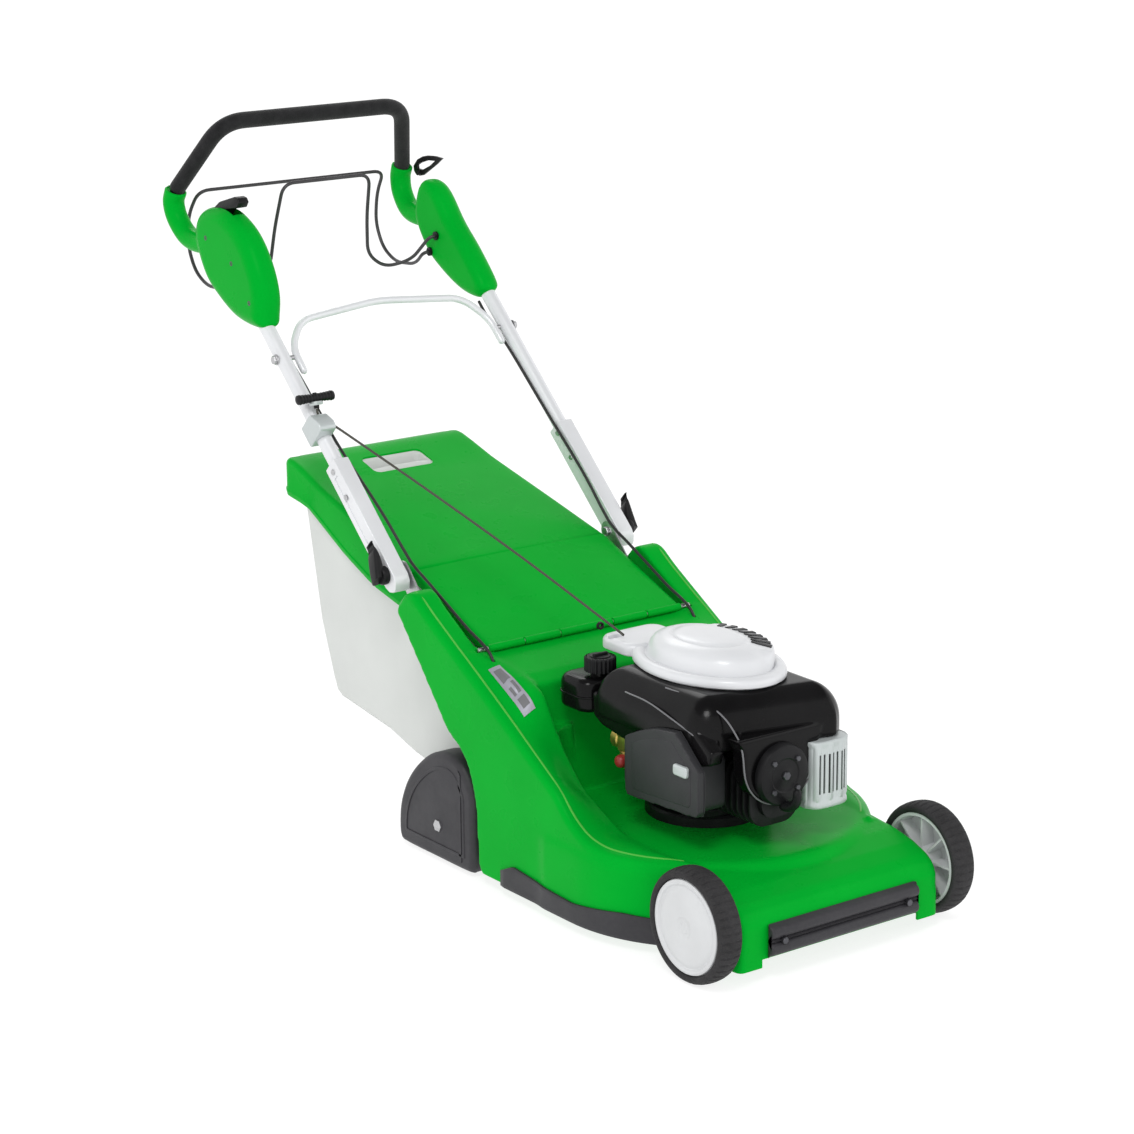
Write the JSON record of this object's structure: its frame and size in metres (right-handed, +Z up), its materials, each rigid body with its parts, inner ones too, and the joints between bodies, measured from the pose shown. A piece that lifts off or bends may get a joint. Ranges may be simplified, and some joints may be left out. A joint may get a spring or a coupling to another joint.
{
  "type": "rotary lawn mower",
  "caption": "Walk-behind petrol rotary mower with a green deck, rear drive roller, rear grass box and folding handle.",
  "frame": {"origin": "on the ground, under the middle of the whole machine's box", "axes": "+Z up, -Y towards the front of the mower, +X its left-hand side as the user pushes it"},
  "size_m": [0.518, 1.5002, 1.0957],
  "materials": {
    "green_body": "glossy bright green",
    "dark_trim": "satin dark grey",
    "black_gloss": "high gloss black",
    "black_matte": "satin black",
    "cable_sleeve": "black sleeve",
    "white_cap": "satin silver-white",
    "hub_grey": "satin pale grey",
    "tyre": "dark tread",
    "roller_grey": "matt dark grey",
    "box_grey": "fine matt light grey",
    "handle_white": "satin silver-white powder coat",
    "steel": "zinc plated",
    "dark_steel": "dark coated",
    "wire": "grey coated wire",
    "cast_alloy": "cast",
    "black_alloy": "cast, black coated",
    "brass": "yellow passivated",
    "belt_rubber": "moulded v-belt",
    "grip_foam": "soft black foam",
    "starter_rope": "braided cord"
  },
  "bodies": {
    "root": {"deck_housing": "green_body", "front_bumper": "dark_trim", "side_skirt_right": "dark_trim", "side_skirt_left": "dark_trim", "handle_bracket_right": "steel", "handle_bracket_left": "steel", "engine_block": "cast_alloy", "engine_cylinder": "black_alloy", "blower_housing": "black_gloss", "engine_cap": "white_cap", "air_filter_box": "dark_trim", "muffler": "dark_steel", "muffler_guard": "white_cap", "fuel_tank": "black_gloss", "carburettor": "brass", "gearbox": "cast_alloy", "drive_belt": "belt_rubber"},
    "front_axle": {"front_axle": "steel"},
    "wheel_right": {"tyre_right": "tyre", "hub_right": "hub_grey"},
    "wheel_left": {"tyre_left": "tyre", "hub_left": "hub_grey"},
    "roller_unit": {"roller_frame": "steel", "roller_cover_right": "dark_trim", "roller_cover_left": "dark_trim"},
    "roller_right": {"roller_right": "roller_grey"},
    "roller_left": {"roller_left": "roller_grey"},
    "height_lever": {"height_lever": "black_matte"},
    "crank": {"crankshaft": "steel", "flywheel": "cast_alloy", "blade_carrier": "cast_alloy", "blade": "dark_steel"},
    "gearbox_pulley": {"gearbox_pulley": "dark_steel"},
    "recoil_pulley": {"recoil_pulley": "dark_trim"},
    "fuel_cap": {"fuel_cap": "black_gloss"},
    "oil_cap": {"oil_cap": "black_gloss"},
    "rear_flap": {"rear_flap": "green_body"},
    "grass_box": {"box_body": "box_grey", "box_lid": "green_body", "box_handle": "white_cap"},
    "handle": {"handle_arm_right": "handle_white", "handle_arm_left": "handle_white", "handle_tube_right": "handle_white", "handle_tube_left": "handle_white", "crossbar": "handle_white", "console_right": "green_body", "console_left": "green_body", "grip_bar": "black_alloy", "grip_foam": "grip_foam", "rope_guide": "white_cap", "starter_rope": "starter_rope", "control_cable_right": "cable_sleeve", "control_cable_left": "cable_sleeve"},
    "clamp_lever_right": {"clamp_lever_right": "black_matte"},
    "clamp_lever_left": {"clamp_lever_left": "black_matte"},
    "stop_bail": {"stop_bail": "wire"},
    "drive_bail": {"drive_bail": "wire"},
    "speed_lever": {"speed_lever": "black_matte"},
    "throttle_lever": {"throttle_lever": "black_matte"},
    "starter_handle": {"starter_handle": "black_matte"}
  },
  "joints": [
    {"name": "cutting_height", "type": "hinge", "parent": "root", "child": "roller_unit", "pos_m": [0, -0.1752, 0.0415], "axis": [1, 0, 0], "range_deg": [-19.9, 0]},
    {"name": "front_axle_swing", "type": "hinge", "parent": "root", "child": "front_axle", "pos_m": [0, -0.7102, 0.074], "axis": [1, 0, 0], "range_deg": [-55.1, 0]},
    {"name": "height_lever_swing", "type": "hinge", "parent": "root", "child": "height_lever", "pos_m": [0.25, -0.2252, 0.19], "axis": [1, 0, 0], "range_deg": [0, 40.1]},
    {"name": "wheel_right_spin", "type": "hinge", "parent": "front_axle", "child": "wheel_right", "pos_m": [-0.221, -0.6652, 0.085], "axis": [1, 0, 0], "continuous": true},
    {"name": "wheel_left_spin", "type": "hinge", "parent": "front_axle", "child": "wheel_left", "pos_m": [0.221, -0.6652, 0.085], "axis": [1, 0, 0], "continuous": true},
    {"name": "roller_right_spin", "type": "hinge", "parent": "roller_unit", "child": "roller_right", "pos_m": [-0.1, -0.0552, 0.0625], "axis": [1, 0, 0], "continuous": true},
    {"name": "roller_left_spin", "type": "hinge", "parent": "roller_unit", "child": "roller_left", "pos_m": [0.1, -0.0552, 0.0625], "axis": [1, 0, 0], "continuous": true},
    {"name": "crank_spin", "type": "hinge", "parent": "root", "child": "crank", "pos_m": [0, -0.4152, 0.06], "axis": [0, 0, 1], "continuous": true},
    {"name": "gearbox_pulley_spin", "type": "hinge", "parent": "root", "child": "gearbox_pulley", "pos_m": [0, -0.1432, 0.088], "axis": [0, 0, 1], "continuous": true},
    {"name": "recoil_spin", "type": "hinge", "parent": "root", "child": "recoil_pulley", "pos_m": [0, -0.4152, 0.352], "axis": [0, 0, 1], "range_deg": [0, 960]},
    {"name": "starter_pull", "type": "slide", "parent": "handle", "child": "starter_handle", "axis": [0, 0.25, 0.9682], "range_m": [0, 0.6], "stiffness_N_per_m": 15, "springref_m": -0.6},
    {"name": "fuel_cap_twist", "type": "hinge", "parent": "root", "child": "fuel_cap", "pos_m": [-0.1, -0.2862, 0.36], "axis": [0, 0, 1], "range_deg": [0, 90]},
    {"name": "oil_cap_twist", "type": "hinge", "parent": "root", "child": "oil_cap", "pos_m": [0.092, -0.4932, 0.248], "axis": [0.5383, -0.3642, 0.76], "range_deg": [0, 90]},
    {"name": "flap_open", "type": "hinge", "parent": "root", "child": "rear_flap", "pos_m": [0, -0.1172, 0.354], "axis": [1, 0, 0], "range_deg": [0, 60]},
    {"name": "grass_box_lift", "type": "slide", "parent": "root", "child": "grass_box", "axis": [0, 0.9336, 0.3583], "range_m": [0, 0.3]},
    {"name": "handle_fold", "type": "hinge", "parent": "root", "child": "handle", "pos_m": [0, 0.0898, 0.434], "axis": [1, 0, 0], "range_deg": [0, 125], "deforming": ["starter_rope", "control_cable_right", "control_cable_left"]},
    {"name": "clamp_lever_right_swing", "type": "hinge", "parent": "handle", "child": "clamp_lever_right", "pos_m": [-0.221, 0.0898, 0.434], "axis": [1, 0, 0], "range_deg": [0, 90]},
    {"name": "clamp_lever_left_swing", "type": "hinge", "parent": "handle", "child": "clamp_lever_left", "pos_m": [0.221, 0.0898, 0.434], "axis": [1, 0, 0], "range_deg": [0, 90]},
    {"name": "stop_bail_squeeze", "type": "hinge", "parent": "handle", "child": "stop_bail", "pos_m": [0, 0.5898, 0.832], "axis": [1, 0, 0], "range_deg": [0, 25], "stiffness_Nm_per_rad": 1.5, "springref_deg": -17.19},
    {"name": "drive_bail_squeeze", "type": "hinge", "parent": "handle", "child": "drive_bail", "pos_m": [0, 0.5698, 0.862], "axis": [1, 0, 0], "range_deg": [-25, 0], "stiffness_Nm_per_rad": 1.5, "springref_deg": 17.19},
    {"name": "speed_lever_swing", "type": "hinge", "parent": "handle", "child": "speed_lever", "pos_m": [-0.217, 0.5848, 0.945], "axis": [1, 0, 0], "range_deg": [-25, 0]},
    {"name": "throttle_lever_swing", "type": "hinge", "parent": "handle", "child": "throttle_lever", "pos_m": [0.248, 0.6868, 0.958], "axis": [1, 0, 0], "range_deg": [-20, 20]}
  ],
  "couplings": [
    {"joint": "front_axle_swing", "follows": "cutting_height", "ratio": 2.764},
    {"joint": "height_lever_swing", "follows": "cutting_height", "ratio": -2.01},
    {"joint": "gearbox_pulley_spin", "follows": "crank_spin", "ratio": 1.1818},
    {"joint": "recoil_spin", "follows": "starter_pull", "rad_per_m": 27.778}
  ]
}
